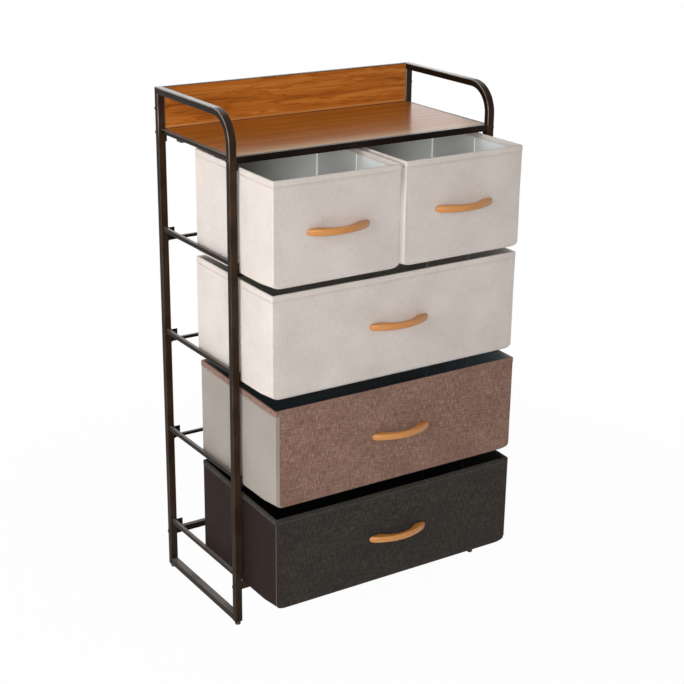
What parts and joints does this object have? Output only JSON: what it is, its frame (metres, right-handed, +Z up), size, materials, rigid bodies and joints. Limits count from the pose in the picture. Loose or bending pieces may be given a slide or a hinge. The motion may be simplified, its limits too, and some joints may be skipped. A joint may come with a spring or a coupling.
{
  "type": "fabric drawer dresser",
  "caption": "Free-standing steel-tube dresser with sliding fabric drawers that have bow handles, and a shelf with a backboard and bent side rails on top.",
  "frame": {"origin": "on the floor, midway between the four feet", "axes": "+X to the right seen from the front, +Y to the back, +Z up; the drawers slide out along -Y"},
  "size_m": [0.6076, 0.4466, 1.038],
  "materials": {
    "frame_paint": "gloss",
    "shelf_laminate": "gloss",
    "backboard_laminate": "satin",
    "foot_plastic": "matte",
    "black_bolt": "satin",
    "zinc_screw": "satin",
    "cream_linen": "matte",
    "brown_linen": "matte",
    "charcoal_linen": "matte",
    "bin_board": "matte",
    "handle_wood": "satin"
  },
  "bodies": {
    "frame": {"left_top_tube": "frame_paint", "left_rear_post": "frame_paint", "left_floor_runner": "frame_paint", "left_bottom_side_rail": "frame_paint", "left_lower_side_rail": "frame_paint", "left_upper_side_rail": "frame_paint", "left_top_side_rail": "frame_paint", "left_shelf_side_rail": "frame_paint", "right_top_tube": "frame_paint", "right_rear_post": "frame_paint", "right_floor_runner": "frame_paint", "right_bottom_side_rail": "frame_paint", "right_lower_side_rail": "frame_paint", "right_upper_side_rail": "frame_paint", "right_top_side_rail": "frame_paint", "right_shelf_side_rail": "frame_paint", "shelf_front_rail": "frame_paint", "shelf_rear_rail": "frame_paint", "bottom_front_rail": "frame_paint", "bottom_rear_rail": "frame_paint", "bottom_left_glide": "frame_paint", "bottom_right_glide": "frame_paint", "lower_rack": "frame_paint", "upper_rack": "frame_paint", "top_rack": "frame_paint", "shelf_board": "shelf_laminate", "backboard": "backboard_laminate", "feet": "foot_plastic", "frame_bolts": "black_bolt", "rack_bolts": "black_bolt", "backboard_bolts": "black_bolt", "board_screws": "zinc_screw"},
    "bottom_drawer": {"bottom_drawer_bin": "charcoal_linen", "bottom_drawer_base_board": "bin_board", "bottom_drawer_front_board": "bin_board", "bottom_drawer_handle": "handle_wood", "bottom_drawer_handle_screws": "zinc_screw"},
    "lower_drawer": {"lower_drawer_bin": "brown_linen", "lower_drawer_base_board": "bin_board", "lower_drawer_front_board": "bin_board", "lower_drawer_handle": "handle_wood", "lower_drawer_handle_screws": "zinc_screw"},
    "upper_drawer": {"upper_drawer_bin": "cream_linen", "upper_drawer_base_board": "bin_board", "upper_drawer_front_board": "bin_board", "upper_drawer_handle": "handle_wood", "upper_drawer_handle_screws": "zinc_screw"},
    "top_left_drawer": {"top_left_drawer_bin": "cream_linen", "top_left_drawer_base_board": "bin_board", "top_left_drawer_front_board": "bin_board", "top_left_drawer_handle": "handle_wood", "top_left_drawer_handle_screws": "zinc_screw"},
    "top_right_drawer": {"top_right_drawer_bin": "cream_linen", "top_right_drawer_base_board": "bin_board", "top_right_drawer_front_board": "bin_board", "top_right_drawer_handle": "handle_wood", "top_right_drawer_handle_screws": "zinc_screw"}
  },
  "joints": [
    {"name": "bottom_drawer_slide", "type": "slide", "parent": "frame", "child": "bottom_drawer", "axis": [0, -1, 0], "range_m": [-0.116, 0.134]},
    {"name": "lower_drawer_slide", "type": "slide", "parent": "frame", "child": "lower_drawer", "axis": [0, -1, 0], "range_m": [-0.116, 0.134]},
    {"name": "upper_drawer_slide", "type": "slide", "parent": "frame", "child": "upper_drawer", "axis": [0, -1, 0], "range_m": [-0.106, 0.144]},
    {"name": "top_left_drawer_slide", "type": "slide", "parent": "frame", "child": "top_left_drawer", "axis": [0, -1, 0], "range_m": [-0.11, 0.14]},
    {"name": "top_right_drawer_slide", "type": "slide", "parent": "frame", "child": "top_right_drawer", "axis": [0, -1, 0], "range_m": [-0.11, 0.14]}
  ]
}
